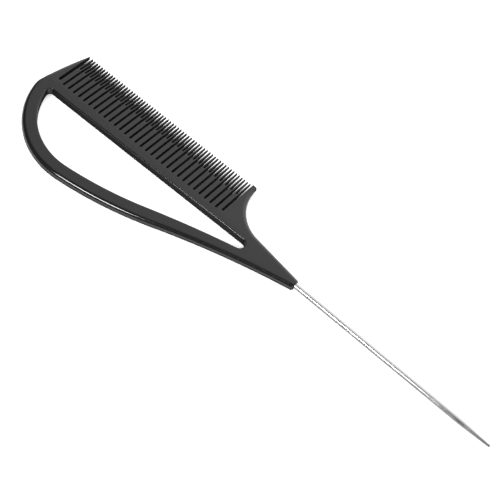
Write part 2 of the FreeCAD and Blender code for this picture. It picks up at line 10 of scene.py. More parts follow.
import bpy
from bpy.props import FloatProperty, FloatVectorProperty, IntProperty, PointerProperty
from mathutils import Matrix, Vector

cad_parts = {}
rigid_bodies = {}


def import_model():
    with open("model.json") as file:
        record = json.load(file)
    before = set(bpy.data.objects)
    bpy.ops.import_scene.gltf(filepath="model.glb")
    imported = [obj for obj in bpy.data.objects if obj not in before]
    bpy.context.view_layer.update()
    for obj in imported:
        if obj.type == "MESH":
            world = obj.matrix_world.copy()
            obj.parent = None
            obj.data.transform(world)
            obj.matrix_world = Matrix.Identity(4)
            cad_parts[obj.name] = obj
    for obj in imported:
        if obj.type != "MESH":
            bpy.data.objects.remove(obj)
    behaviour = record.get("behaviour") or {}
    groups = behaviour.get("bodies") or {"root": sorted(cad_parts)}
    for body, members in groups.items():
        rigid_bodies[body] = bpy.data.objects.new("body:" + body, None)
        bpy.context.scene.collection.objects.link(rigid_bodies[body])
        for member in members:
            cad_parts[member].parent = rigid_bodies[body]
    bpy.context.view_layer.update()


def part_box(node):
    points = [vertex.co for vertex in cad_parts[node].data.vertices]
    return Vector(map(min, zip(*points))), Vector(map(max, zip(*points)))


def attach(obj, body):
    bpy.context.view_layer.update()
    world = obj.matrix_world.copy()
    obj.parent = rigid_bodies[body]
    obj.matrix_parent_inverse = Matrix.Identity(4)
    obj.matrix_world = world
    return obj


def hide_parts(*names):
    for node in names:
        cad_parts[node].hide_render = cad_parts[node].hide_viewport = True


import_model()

bl_info = {
    "name": "Rat tail comb",
    "version": (1, 0, 0),
    "blender": (4, 5, 0),
    "location": "3D View > Sidebar > Comb",
    "description": "Models a moulded parting comb with a finger loop and a steel tail",
    "category": "Object",
}

MM = 0.001
UP = Vector((0, 0, 1))
COMB_LOW, COMB_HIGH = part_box("comb_body")
THICKNESS = COMB_HIGH.z - COMB_LOW.z
MIDDLE = (COMB_HIGH.z + COMB_LOW.z) / 2
SAME_PLACE = 1e-6  # points nearer than this are one point
OVERRUN = MM  # how far a cutter reaches past the surface that it opens
RIGHT_ANGLE = math.pi / 2


# ---------------------------------------------------------------- sizes and colours


def length(name, value, description):
    """A size in metres, given here in millimetres."""
    return FloatProperty(name=name, description=description, default=value * MM, min=0,
                         precision=5, subtype="DISTANCE", unit="LENGTH")


def angle(name, value, description):
    return FloatProperty(name=name, description=description, default=math.radians(value),
                         subtype="ANGLE", unit="ROTATION")


def colour(name, value, description):
    return FloatVectorProperty(name=name, description=description, default=value, size=3,
                               min=0, max=1, subtype="COLOR")


class CombSizes(bpy.types.PropertyGroup):
    """Sizes of the moulded comb, measured from its tooth tips and its first long slot."""

    tooth_pitch: length("Tooth pitch", 1.4, "Fine tooth to fine tooth")
    fat_teeth: IntProperty(name="Thick teeth", description="Tooth roots, each split in two",
                           default=31, min=2)
    long_slot_depth: length("Long slot depth", 19.1, "Tooth tip to the bottom of a long slot")
    long_slot_width: length("Long slot width", 0.95, "Gap between two thick roots")
    short_slot_depth: length("Short slot depth", 8.3, "Tooth tip to the bottom of a short slot")
    short_slot_width: length("Short slot width", 0.8, "Gap that splits a thick tooth")
    end_slot_depth: length("End slot depth", 18.2, "Depth of the first and last long slots")
    end_slot_width: length("First slot width", 1.3, "Width of the slot beside the loop's guard")
    end_slot_shift: length("First slot shift", 0.25, "How far that slot leans to the guard")
    tip_rounding: length("Tip rounding", 0.2, "Rounding of each tooth's tip, from above")
    tooth_edge: length("Tooth edge", 0.06, "Rounding along the edges of the teeth")
    taper_depth: length("Taper depth", 19.5, "Where the blade starts to thin")
    guard_tip_thickness: length("Guard tip", 2.2, "Thickness of the guards at their tips")
    fine_taper_depth: length("Fine taper depth", 9.3, "Where the fine teeth thin further")
    fine_tip_thickness: length("Fine tip", 0.9, "Thickness of the fine teeth at their tips")
    left_guard_tip_x: length("Left guard tip", 1.5, "Tip corner of the loop's guard")
    left_guard_foot_x: length("Left guard foot", 6.3, "Foot of the loop's guard")
    left_guard_foot_depth: length("Left guard depth", 23.3, "Depth of that foot")
    left_guard_radius: length("Left guard curve", 155, "Curve of the guard's back")
    left_guard_rounding: length("Left tip rounding", 0.3, "Rounding of the loop guard's tip")
    shoulder_radius: length("Shoulder", 10, "Turn from the guard's back into the loop")
    right_guard_tip_x: length("Right guard tip", 2.75, "Tip corner of the tail's guard")
    right_guard_rounding: length("Right tip rounding", 0.75, "Rounding of that guard's tip")
    throat_radius: length("Throat", 17.4, "Hollow sweep from the guard to the nose")
    spine_width: length("Spine width", 4.55, "Long slot bottom to the finger hole")
    spine_taper: angle("Spine taper", 0.78, "Angle at which the spine narrows")
    loop_centre_x: length("Loop centre", 27.9, "Centre of the loop's round end")
    loop_end_radius: length("Loop end radius", 35.1, "Outer radius of the round end")
    loop_band: length("Loop band", 6.1, "Width of the loop's band")
    belly_start_x: length("Belly start", 32.2, "Where the round end meets the belly")
    belly_radius: length("Belly radius", 166, "Outer radius of the belly")
    flank_radius: length("Flank radius", 365, "Hollow curve from the belly to the nose")
    inner_flank_radius: length("Inner flank radius", 420, "The same curve on the hole's side")
    hole_corner_radius: length("Hole corner", 1.6, "Corner of the hole near the guard")
    hole_end_radius: length("Hole end", 2.2, "Round end of the hole near the nose")
    hole_end_reach: length("Hole end reach", 16.3, "Last long slot to the hole's end")
    nose_reach: length("Nose reach", 40.4, "Last long slot to the nose's end face")
    nose_low_depth: length("Nose depth", 24.98, "Lower corner of the nose below the tips")
    nose_width: length("Nose width", 4.3, "Width of the nose at its end face")
    nose_flank_angle: angle("Nose flank", 7.9, "Slope of the nose's upper flank")
    outer_rounding: length("Outer rounding", 1.9, "Nearly full half round of the outer edge")
    hole_rounding: length("Hole rounding", 0.5, "Rounding of the finger hole's edges")
    nose_rim: length("Nose rim", 0.45, "Rounding of the nose's end face")
    bore_play: length("Bore play", 0.03, "Gap between the nose's bore and the tail")
    plastic: colour("Plastic", (0.008, 0.008, 0.0083), "Colour of the moulding")


class TailSizes(bpy.types.PropertyGroup):
    """Sizes of the steel tail, measured from the nose's end face."""

    diameter: length("Diameter", 2.2, "Diameter of the wire")
    free_length: length("Free length", 90.3, "Length outside the nose")
    taper_length: length("Taper", 13, "Tapered length at the tip")
    tip_diameter: length("Tip diameter", 1.1, "Diameter of the blunt tip")
    tip_rounding: length("Tip rounding", 0.42, "Rounding of the blunt tip")
    depth: length("Depth", 22.63, "Axis below the tooth tips, at the nose")
    droop: angle("Droop", 0.69, "Angle of the tail below the tooth line")
    buried_length: length("Buried length", 20, "Length inside the nose")
    buried_step: length("Buried step", 0.2, "How far the buried length is turned down")
    steel: colour("Steel", (0.45, 0.45, 0.455), "Colour of the polished steel")


class StageSizes(bpy.types.PropertyGroup):
    """The studio: a pale floor and soft lights."""

    floor_size: length("Floor size", 6000, "Side of the floor")
    floor: colour("Floor", (0.9, 0.9, 0.9), "Colour of the floor")
    floor_glow: FloatProperty(name="Floor glow", description="Light that the floor gives off",
                              default=0.48, min=0)
    world_glow: FloatProperty(name="World glow", description="Light from all round",
                              default=0.1, min=0)
    focal_length: FloatProperty(name="Focal length", description="Of the camera's lens",
                                default=77.4, unit="CAMERA")
    camera_place: FloatVectorProperty(name="Camera place", description="Where the camera stands",
                                      default=(0.09602, -0.18951, 0.34426), size=3,
                                      subtype="TRANSLATION", unit="LENGTH")
    camera_turn: FloatVectorProperty(name="Camera turn", description="How the camera is turned",
                                     default=(0.5435441, -0.1479730, 0.7020491), size=3,
                                     subtype="EULER", unit="ROTATION")
    lens_shift: FloatVectorProperty(name="Lens shift", description="Of the camera's frame",
                                    default=(-0.0011, 0.0011), size=2)


# ---------------------------------------------------------------- geometry in plan


def polar(centre, radius, towards):
    """The point at a radius from a centre, in the direction of another point."""
    return centre + (towards - centre).normalized() * radius


def circles_meet(centre_a, radius_a, centre_b, radius_b):
    """The crossing of two circles that lies right of the way from centre_a to centre_b."""
    way = centre_b - centre_a
    gap = way.length
    along = (radius_a ** 2 - radius_b ** 2 + gap ** 2) / (2 * gap)
    aside = math.sqrt(radius_a ** 2 - along ** 2)
    way.normalize()
    return centre_a + way * along + Vector((way.y, -way.x, 0)) * aside


class Plan:
    """Centres and joints of the comb's outline, seen from above."""

    def __init__(self, size):
        self.size = size
        self.row = size.tooth_pitch * 2 * size.fat_teeth
        nose_x = self.row + size.nose_reach
        self.first = COMB_HIGH.x - nose_x
        self.tips = COMB_HIGH.y
        self.nose_low = self.at(nose_x, -size.nose_low_depth)
        self.nose_high = self.nose_low + Vector((0, size.nose_width, 0))
        self.guards()
        self.loop()
        self.hole()

    def at(self, x, y):
        """A point at mid-thickness, from the first long slot and the tooth tips."""
        return Vector((self.first + x, self.tips + y, MIDDLE))

    def guards(self):
        size = self.size
        foot = self.at(-size.left_guard_foot_x, -size.left_guard_foot_depth)
        self.left_tip = self.at(-size.left_guard_tip_x, 0)
        self.right_tip = self.at(self.row + size.right_guard_tip_x, 0)
        radius = size.left_guard_radius
        self.back = circles_meet(foot, radius, self.left_tip, radius)
        slope = size.nose_flank_angle
        along = Vector((-math.cos(slope), math.sin(slope), 0))
        above = Vector((math.sin(slope), math.cos(slope), 0))
        to_tip = self.right_tip - self.nose_high
        radius = size.throat_radius
        aside = math.sqrt(radius ** 2 - (to_tip.dot(above) - radius) ** 2)
        self.throat_foot = self.nose_high + along * (to_tip.dot(along) - aside)
        self.throat = self.throat_foot + above * radius

    def loop(self):
        size = self.size
        self.end = Vector((self.first + size.loop_centre_x, COMB_LOW.y + size.loop_end_radius,
                           MIDDLE))
        lean = (size.belly_start_x - size.loop_centre_x) / size.loop_end_radius
        self.outward = Vector((lean, -math.sqrt(1 - lean ** 2), 0))
        self.belly = self.end - self.outward * (size.belly_radius - size.loop_end_radius)
        reach = size.belly_radius + size.flank_radius
        self.flank = circles_meet(self.belly, reach, self.nose_low, size.flank_radius)
        self.flank_joint = polar(self.belly, size.belly_radius, self.flank)
        self.belly_joint = self.end + self.outward * size.loop_end_radius
        turn = size.shoulder_radius
        self.shoulder = circles_meet(self.end, size.loop_end_radius - turn,
                                     self.back, size.left_guard_radius - turn)
        self.end_joint = polar(self.end, size.loop_end_radius, self.shoulder)
        self.back_joint = polar(self.back, size.left_guard_radius, self.shoulder)

    def hole(self):
        size = self.size
        along = Vector((math.cos(size.spine_taper), math.sin(size.spine_taper), 0))
        down = Vector((along.y, -along.x, 0))
        edge = self.at(0, -size.long_slot_depth - size.spine_width)
        tip, corner = size.hole_end_radius, size.hole_corner_radius
        tip_x = self.first + self.row + size.hole_end_reach - tip
        self.hole_tip = edge + down * tip
        self.hole_tip += along * ((tip_x - self.hole_tip.x) / along.x)
        inner_belly = size.belly_radius - size.loop_band
        inner_flank = size.inner_flank_radius
        self.inner_flank = circles_meet(self.belly, inner_belly + inner_flank,
                                        self.hole_tip, inner_flank + tip)
        self.corner = edge + down * corner
        start = self.corner - self.end
        inner_end = size.loop_end_radius - size.loop_band
        aside = start.length_squared - start.dot(along) ** 2
        self.corner -= along * (start.dot(along) + math.sqrt((inner_end - corner) ** 2 - aside))
        self.spine_start = self.corner - down * corner
        self.spine_end = self.hole_tip - down * tip
        self.tip_joint = polar(self.hole_tip, tip, self.inner_flank)
        self.inner_flank_joint = polar(self.belly, inner_belly, self.inner_flank)
        self.inner_belly_joint = self.end + self.outward * inner_end
        self.corner_joint = polar(self.end, inner_end, self.corner)

    def tip_round(self, circle, radius, rounding, outside):
        """Centre of a guard tip's round, and where it meets the guard's curved side."""
        reach = radius + rounding * outside
        drop = circle.y - (self.tips - rounding)
        centre_x = circle.x - math.sqrt(reach ** 2 - drop ** 2)
        centre = Vector((centre_x, self.tips - rounding, MIDDLE))
        return centre, polar(circle, radius, centre)


# ---------------------------------------------------------------- modelling by operators


def deselect_all():
    if bpy.context.object and bpy.context.object.mode != "OBJECT":
        bpy.ops.object.mode_set(mode="OBJECT")
    bpy.ops.object.select_all(action="DESELECT")


def activate(piece):
    deselect_all()
    piece.select_set(True)
    bpy.context.view_layer.objects.active = piece


def select(piece, kind, wanted):
    """In edit mode, select the vertices, edges or faces that pass a test, and nothing else."""
    bpy.ops.mesh.select_all(action="DESELECT")
    bpy.ops.mesh.select_mode(type={"vertices": "VERT", "edges": "EDGE", "polygons": "FACE"}[kind])
    bpy.ops.object.mode_set(mode="OBJECT")
    for item in getattr(piece.data, kind):
        item.select = wanted(item)
    bpy.ops.object.mode_set(mode="EDIT")


class Pen:
    """Draws closed outlines in one mesh: a vertex is extruded along lines and spun along arcs."""

    def __init__(self, name):
        """Start an empty mesh, open in edit mode."""
        deselect_all()
        bpy.ops.mesh.primitive_plane_add(size=MM, location=(0, 0, 0))
        self.piece = bpy.context.object
        self.piece.name = name
        bpy.ops.object.mode_set(mode="EDIT")
        bpy.ops.mesh.select_mode(type="VERT")
        bpy.ops.mesh.delete(type="VERT")

    def put(self, start):
        """Set the pen down at the start of an outline."""
        bpy.ops.mesh.select_mode(type="VERT")
        bpy.ops.mesh.select_all(action="DESELECT")
        bpy.ops.mesh.primitive_plane_add(size=MM, location=start)
        bpy.ops.mesh.merge(type="CENTER")
        self.start = self.here = start.copy()

    def line(self, to):
        bpy.ops.mesh.extrude_vertices_move(TRANSFORM_OT_translate={"value": to - self.here})
        self.here = to.copy()

    def arc(self, centre, to, clockwise, steps):
        """Go round a centre to a point, seen from above."""
        spoke, last = self.here - centre, to - centre
        turn = math.atan2(spoke.x * last.y - spoke.y * last.x, spoke.dot(last))
        if clockwise and turn > 0:
            turn -= 2 * math.pi
        if not clockwise and turn < 0:
            turn += 2 * math.pi
        bpy.ops.mesh.spin(steps=steps, angle=turn, center=centre, axis=-UP)
        self.here = to.copy()

    def fill(self):
        """Close the outline and fill it with one face."""
        if (self.here - self.start).length > SAME_PLACE:
            self.line(self.start)
        bpy.ops.mesh.select_linked()
        bpy.ops.mesh.remove_doubles(threshold=SAME_PLACE)
        bpy.ops.mesh.edge_face_add()

    def raise_solid(self, height):
        """Turn the filled outlines into a solid of a height, half of it above mid-thickness."""
        bpy.ops.mesh.select_all(action="SELECT")
        bpy.ops.mesh.remove_doubles(threshold=SAME_PLACE)
        lift = Vector((0, 0, height))
        bpy.ops.transform.translate(value=-lift / 2)
        bpy.ops.mesh.extrude_region_move(TRANSFORM_OT_translate={"value": lift})
        bpy.ops.mesh.select_all(action="SELECT")
        bpy.ops.mesh.normals_make_consistent(inside=False)
        bpy.ops.object.mode_set(mode="OBJECT")
        return self.piece


def apply_modifier(piece, kind, **settings):
    activate(piece)
    modifier = piece.modifiers.new(kind.title(), kind)
    for name, value in settings.items():
        setattr(modifier, name, value)
    bpy.ops.object.modifier_apply(modifier=modifier.name)


def cut(piece, cutter):
    """Take a cutter's solid away from a piece, and delete the cutter."""
    apply_modifier(piece, "BOOLEAN", operation="DIFFERENCE", solver="EXACT", object=cutter)
    bpy.data.objects.remove(cutter)


def round_selected(width, segments):
    bpy.ops.mesh.bevel(offset=width, segments=segments, profile=0.5, affect="EDGES",
                       clamp_overlap=False)


def edge_test(piece, wanted):
    """A test for edges that is given the edge's two ends."""
    vertices = piece.data.vertices

    def test(edge):
        a, b = (vertices[index].co for index in edge.vertices)
        return wanted(a, b)
    return test


def on_plane(piece, axis, place):
    """A test for edges that lie in a plane across an axis."""
    return edge_test(piece, lambda a, b: abs(a[axis] - place) < SAME_PLACE > abs(b[axis] - place))


# ---------------------------------------------------------------- the moulded comb


def draw_plate(plan):
    """The comb seen from above without its slots, as two faces that meet at the hole's ends."""
    size = plan.size
    low_cut = polar(plan.flank, size.flank_radius, plan.tip_joint)
    pen = Pen("comb_moulding")
    pen.put(low_cut)
    pen.arc(plan.flank, plan.nose_low, True, 12)
    pen.line(plan.nose_high)
    pen.line(plan.throat_foot)
    pen.arc(plan.throat, plan.right_tip, True, 28)
    pen.line(plan.left_tip)
    pen.arc(plan.back, plan.back_joint, False, 12)
    pen.arc(plan.shoulder, plan.end_joint, False, 10)
    pen.line(plan.corner_joint)
    pen.arc(plan.corner, plan.spine_start, True, 12)
    pen.line(plan.spine_end)
    pen.arc(plan.hole_tip, plan.tip_joint, True, 18)
    pen.fill()
    pen.put(low_cut)
    pen.arc(plan.flank, plan.flank_joint, False, 20)
    pen.arc(plan.belly, plan.belly_joint, True, 30)
    pen.arc(plan.end, plan.end_joint, True, 48)
    pen.line(plan.corner_joint)
    pen.arc(plan.end, plan.inner_belly_joint, False, 48)
    pen.arc(plan.belly, plan.inner_flank_joint, False, 30)
    pen.arc(plan.inner_flank, plan.tip_joint, True, 20)
    pen.fill()
    return pen.raise_solid(THICKNESS)


def hole_distance(plan, spot):
    """How far a point is from the finger hole's outline, for points of that outline only."""
    size = plan.size
    arcs = [(plan.hole_tip, size.hole_end_radius), (plan.corner, size.hole_corner_radius),
            (plan.end, size.loop_end_radius - size.loop_band),
            (plan.belly, size.belly_radius - size.loop_band),
            (plan.inner_flank, size.inner_flank_radius)]
    flat = Vector((spot.x, spot.y, MIDDLE))
    return min(abs((flat - centre).length - radius) for centre, radius in arcs)


def plan_place(spot):
    """A point seen from above, rounded so that equal places compare as equal."""
    return round(spot.x, 7), round(spot.y, 7)


def walls_from_above(piece):
    """Each upright face of the plate, as its two ends seen from above."""
    walls = set()
    for face in piece.data.polygons:
        if abs(face.normal.z) < 0.5:
            ends = {plan_place(piece.data.vertices[index].co) for index in face.vertices}
            walls.add(tuple(sorted(ends)))
    return walls


def round_plate(piece, plan):
    """Round the outer edge, the finger hole's edges and the rim of the nose."""
    size = plan.size
    faces = (COMB_LOW.z, COMB_HIGH.z)
    near = 4 * SAME_PLACE
    walls = walls_from_above(piece)

    def borders(a, b):
        """Edges of the flat faces that border a wall, so they don't cross the face."""
        on_face = any(abs(a.z - z) < SAME_PLACE > abs(b.z - z) for z in faces)
        return on_face and tuple(sorted((plan_place(a), plan_place(b)))) in walls

    def in_hole(a, b):
        return borders(a, b) and all(hole_distance(plan, v) < near for v in (a, b))

    def outer(a, b):
        at_tips = min(a.y, b.y) > plan.tips - near
        at_nose = min(a.x, b.x) > plan.nose_low.x - near
        return borders(a, b) and not at_tips and not at_nose and not in_hole(a, b)

    activate(piece)
    bpy.ops.object.mode_set(mode="EDIT")
    select(piece, "edges", edge_test(piece, in_hole))
    round_selected(size.hole_rounding, 5)
    select(piece, "edges", edge_test(piece, outer))
    round_selected(size.outer_rounding, 12)
    select(piece, "edges", on_plane(piece, 0, plan.nose_low.x))
    round_selected(size.nose_rim, 5)
    bpy.ops.object.mode_set(mode="OBJECT")


def draw_slot(pen, plan, middle, width, depth):
    """One gap between teeth, with a mouth that rounds the two tooth tips beside it."""
    half, tip = width / 2, plan.size.tip_rounding
    pen.put(plan.at(middle + half + tip, OVERRUN))
    pen.line(plan.at(middle - half - tip, OVERRUN))
    pen.line(plan.at(middle - half - tip, 0))
    pen.arc(plan.at(middle - half - tip, -tip), plan.at(middle - half, -tip), True, 4)
    pen.line(plan.at(middle - half, half - depth))
    pen.arc(plan.at(middle, half - depth), plan.at(middle + half, half - depth), False, 8)
    pen.line(plan.at(middle + half, -tip))
    pen.arc(plan.at(middle + half + tip, -tip), plan.at(middle + half + tip, 0), True, 4)
    pen.fill()


def draw_slots(plan):
    """Every gap of the tooth row, as one cutter."""
    size = plan.size
    pitch = size.tooth_pitch * 2
    pen = Pen("slots")
    draw_slot(pen, plan, -size.end_slot_shift, size.end_slot_width, size.end_slot_depth)
    for tooth in range(size.fat_teeth):
        middle = (tooth + 0.5) * pitch
        last = tooth == size.fat_teeth - 1
        draw_slot(pen, plan, middle, size.short_slot_width, size.short_slot_depth)
        draw_slot(pen, plan, (tooth + 1) * pitch, size.long_slot_width,
                  size.end_slot_depth if last else size.long_slot_depth)
    return pen.raise_solid(THICKNESS * 2)


def draw_guard_trims(plan):
    """The corners that are cut off the two guards, outside a small round."""
    size = plan.size
    pen = Pen("guard_trims")
    guards = ((plan.back, size.left_guard_radius, size.left_guard_rounding, -1),
              (plan.throat, size.throat_radius, size.right_guard_rounding, 1))
    for circle, radius, rounding, side in guards:
        centre, touch = plan.tip_round(circle, radius, rounding, side)
        top = Vector((centre.x, plan.tips, MIDDLE))
        far_x = centre.x + side * (rounding + 1.5 * OVERRUN)
        far = Vector((far_x, plan.tips + OVERRUN, MIDDLE))
        pen.put(top)
        pen.line(Vector((top.x, far.y, MIDDLE)))
        pen.line(far)
        pen.line(Vector((far.x, touch.y, MIDDLE)))
        pen.line(touch)
        pen.arc(centre, top, side < 0, 6)
        pen.fill()
    return pen.raise_solid(THICKNESS * 2)


def thin_blade(piece, plan):
    """Thin the blade towards the tips, and the fine teeth further still.

    Half thicknesses are scaled about mid-thickness, in proportion to the depth below the tips.
    """
    size = plan.size
    half = THICKNESS / 2
    guard = size.guard_tip_thickness / 2
    slope = (half - guard) / size.taper_depth
    fine_start = guard + slope * size.fine_taper_depth
    fine_slope = (fine_start - size.fine_tip_thickness / 2) / size.fine_taper_depth
    activate(piece)
    bpy.ops.object.mode_set(mode="EDIT")
    for depth in (size.taper_depth, size.fine_taper_depth):
        bpy.ops.mesh.select_all(action="SELECT")
        bpy.ops.mesh.bisect(plane_co=plan.at(0, -depth), plane_no=(0, 1, 0),
                            threshold=SAME_PLACE / 10)
    bpy.ops.object.mode_set(mode="OBJECT")
    for vertex in piece.data.vertices:
        depth = plan.tips - vertex.co.y
        if depth > size.taper_depth:
            continue
        thickness = guard + slope * depth
        if depth < size.fine_taper_depth and 0 < vertex.co.x - plan.first < plan.row:
            thickness = size.fine_tip_thickness / 2 + fine_slope * depth
        vertex.co.z = MIDDLE + (vertex.co.z - MIDDLE) * thickness / half
    piece.data.update()


def round_teeth(piece, plan):
    """Round the long edges and the tips of all the teeth."""
    size = plan.size
    low = plan.tips - size.long_slot_depth - size.tooth_edge
    first = plan.first - size.end_slot_shift
    last = plan.first + plan.row + size.long_slot_width
    guard_top = plan.tips - size.left_guard_foot_depth / 3
    normals = {}
    for face in piece.data.polygons:
        for key in face.edge_keys:
            normals.setdefault(key, []).append(face.normal.z)

    def wanted(edge):
        """Edges between a wall and a flat, of the teeth and of the guards' sides near them."""
        a, b = (piece.data.vertices[index].co for index in edge.vertices)
        beside = sorted(abs(z) for z in normals[tuple(sorted(edge.vertices))])
        if min(a.y, b.y) < low or beside[0] > 0.1 or beside[-1] < 0.9:
            return False
        if max(a.x, b.x) > last:
            return False
        return min(a.x, b.x) > first or max(a.y, b.y) < guard_top

    activate(piece)
    bpy.ops.object.mode_set(mode="EDIT")
    select(piece, "edges", wanted)
    round_selected(size.tooth_edge, 2)
    bpy.ops.object.mode_set(mode="OBJECT")


def tail_axis(tail, plan):
    """Where the tail crosses the nose's end face, and its direction."""
    foot = Vector((plan.nose_low.x, plan.tips - tail.depth, MIDDLE))
    return foot, Vector((math.cos(tail.droop), -math.sin(tail.droop), 0))


def draw_bore(plan, tail, play):
    """A cutter for the bore that holds the tail, wider at its mouth."""
    foot, along = tail_axis(tail, plan)
    full = tail.diameter / 2 + play
    shank = full - tail.buried_step
    stations = [(-tail.buried_length, shank), (-play, shank), (-play, full), (2 * OVERRUN, full)]
    return turn_piece("bore", foot, along, stations, 48)


def tail_stations(tail):
    """Places along the tail from the nose's end face, and the radius at each."""
    full, tip = tail.diameter / 2, tail.tip_diameter / 2
    shank = full - tail.buried_step
    taper = tail.free_length - tail.taper_length
    stations = [(-tail.buried_length, shank), (0, shank), (0, full)]
    stations += [(taper * share, full) for share in (0.25, 0.5, 0.75, 1)]
    rounding = tail.tip_rounding
    round_start = tail.free_length - rounding
    slope = (full - tip) / tail.taper_length
    stations.append((round_start, tip + slope * rounding))
    steps = 6
    for step in range(1, steps + 1):
        turn = RIGHT_ANGLE * step / steps
        drop = rounding * (1 - math.cos(turn))
        stations.append((round_start + rounding * math.sin(turn),
                         tip + slope * rounding * (1 - step / steps) - drop))
    return stations


def turn_piece(name, foot, along, stations, segments):
    """A round piece along an axis: a disc is extruded and resized from station to station."""
    deselect_all()
    turn = along.to_track_quat("Z", "Y").to_euler()
    place, radius = stations[0]
    bpy.ops.mesh.primitive_circle_add(vertices=segments, radius=radius, fill_type="NGON",
                                      location=foot + along * place, rotation=turn)
    piece = bpy.context.object
    piece.name = name
    bpy.ops.object.transform_apply(location=True, rotation=True, scale=True)
    bpy.ops.object.mode_set(mode="EDIT")
    bpy.ops.mesh.select_all(action="SELECT")
    for new_place, new_radius in stations[1:]:
        centre = foot + along * new_place
        bpy.ops.mesh.extrude_region_move(
            TRANSFORM_OT_translate={"value": along * (new_place - place)})
        bpy.ops.transform.resize(value=(new_radius / radius,) * 3, center_override=centre)
        place, radius = new_place, new_radius
    bpy.ops.mesh.select_all(action="SELECT")
    bpy.ops.mesh.normals_make_consistent(inside=False)
    bpy.ops.object.mode_set(mode="OBJECT")
    return piece


def smooth(piece, sharp_angle):
    """Shade smoothly up to an angle, and let the large flats keep their own normals."""
    activate(piece)
    bpy.ops.object.shade_smooth_by_angle(angle=sharp_angle)
    apply_modifier(piece, "WEIGHTED_NORMAL", keep_sharp=True, weight=50)


# ---------------------------------------------------------------- materials


class Value:
    """A shader socket that takes part in Python expressions."""

    def __init__(self, maker, socket):
        self.maker = maker
        self.socket = socket

    def maths(self, operation, *values):
        return self.maker.node("ShaderNodeMath", {"operation": operation}, values)

    def __add__(self, other):
        return self.maths("ADD", self, other)

    def __sub__(self, other):
        return self.maths("SUBTRACT", self, other)

    def __rsub__(self, other):
        return self.maths("SUBTRACT", other, self)

    def __mul__(self, other):
        return self.maths("MULTIPLY", self, other)

    def __truediv__(self, other):
        return self.maths("DIVIDE", self, other)

    def __abs__(self):
        return self.maths("ABSOLUTE", self)

    def limited(self):
        """The value, kept between 0 and 1."""
        return self.maths("MINIMUM", self.maths("MAXIMUM", self, 0.0), 1.0)

    __radd__ = __add__
    __rmul__ = __mul__


class Finish:
    """A material and the nodes that make it."""

    def __init__(self, name):
        self.material = bpy.data.materials.new(name)
        self.material.use_nodes = True
        self.tree = self.material.node_tree
        self.tree.nodes.clear()
        self.place = self.node("ShaderNodeTexCoord", output="Object")

    def node(self, kind, settings=None, inputs=(), output=0):
        """Add a node; inputs are values or links, by order or by name."""
        made = self.tree.nodes.new(kind)
        for name, value in (settings or {}).items():
            if name == "stops":
                self.set_stops(made.color_ramp, value)
            else:
                setattr(made, name, value)
        pairs = inputs.items() if isinstance(inputs, dict) else enumerate(inputs)
        for key, value in pairs:
            if isinstance(value, Value):
                self.tree.links.new(value.socket, made.inputs[key])
            else:
                made.inputs[key].default_value = value
        return Value(self, made.outputs[output]) if made.outputs else made

    def set_stops(self, ramp, stops):
        """Give a ramp its grey stops, each a place and a shade."""
        while len(ramp.elements) < len(stops):
            ramp.elements.new(1.0)
        for element, (place, shade) in zip(ramp.elements, stops):
            element.position = place
            element.color = (shade, shade, shade, 1)

    def stretched(self, scale, turn=(0, 0, 0)):
        """Object coordinates, turned and then stretched."""
        return self.node("ShaderNodeMapping", {}, {"Vector": self.place, "Rotation": turn,
                                                   "Scale": scale})

    def noise(self, scale, detail=2.0, roughness=0.5, vector=None):
        return self.node("ShaderNodeTexNoise", {}, {"Vector": vector or self.place, "Scale": scale,
                                                    "Detail": detail, "Roughness": roughness})

    def ramp(self, factor, *stops):
        return self.node("ShaderNodeValToRGB", {"stops": stops}, [factor])

    def tint(self, factor, dark, light):
        return self.node("ShaderNodeMix", {"data_type": "RGBA"},
                         {0: factor, 6: (*dark, 1), 7: (*light, 1)}, output=2)

    def bump(self, height, distance, strength, normal=None):
        inputs = {"Height": height, "Distance": distance, "Strength": strength}
        if normal:
            inputs["Normal"] = normal
        return self.node("ShaderNodeBump", {}, inputs)

    def surface(self, **inputs):
        """A surface shader: sockets by name, with spaces written as underscores."""
        named = {name.replace("_", " "): value for name, value in inputs.items()}
        return self.node("ShaderNodeBsdfPrincipled", {}, named)

    def shade(self, **inputs):
        self.node("ShaderNodeOutputMaterial", {}, [self.surface(**inputs)])
        return self.material

    def shade_mixed(self, factor, first, second):
        mixed = self.node("ShaderNodeMixShader", {},
                          [factor, self.surface(**first), self.surface(**second)])
        self.node("ShaderNodeOutputMaterial", {}, [mixed])
        return self.material


def plastic_finish(size):
    """Satin black plastic: fine mould grain on the flats, smoother on the rounded edges.

    Where a rounded edge turns under and is seen at a slant, it is matt.
    """
    finish = Finish("comb_plastic_satin")
    base = Vector(size.plastic)
    grain = finish.noise(2600, 3, 0.6)
    cloud = finish.noise(55, 4, 0.55)
    smudge = finish.noise(160, 3, 0.5)
    normal = finish.node("ShaderNodeNewGeometry", output="Normal")
    split = finish.node("ShaderNodeSeparateXYZ", {}, [normal], output="Z")
    flat = finish.ramp(abs(split), (0.975, 0.0), (0.992, 1.0))
    tone = finish.tint(cloud * 0.6 + grain * 0.4, base * 0.75, base * 1.3)
    uneven = (cloud - 0.5) * 0.08 + (smudge - 0.5) * 0.06 + (grain - 0.5) * 0.04
    rough = 0.13 + flat * 0.35 + uneven
    fine = finish.bump(grain, 0.000012, 0.35)
    waves = finish.bump(finish.noise(90, 2, 0.4), 0.00004, 0.25, fine)
    facing = finish.node("ShaderNodeLayerWeight", {}, {"Blend": 0.5}, output="Facing")
    rim = finish.ramp(facing, (0.3, 0.0), (0.54, 1.0)) * ((0.3 - split) / 0.25).limited()
    return finish.shade_mixed(rim, dict(Base_Color=tone, Roughness=rough.limited(), Normal=waves),
                              dict(Base_Color=tone, Roughness=0.8, Specular_IOR_Level=0.05))


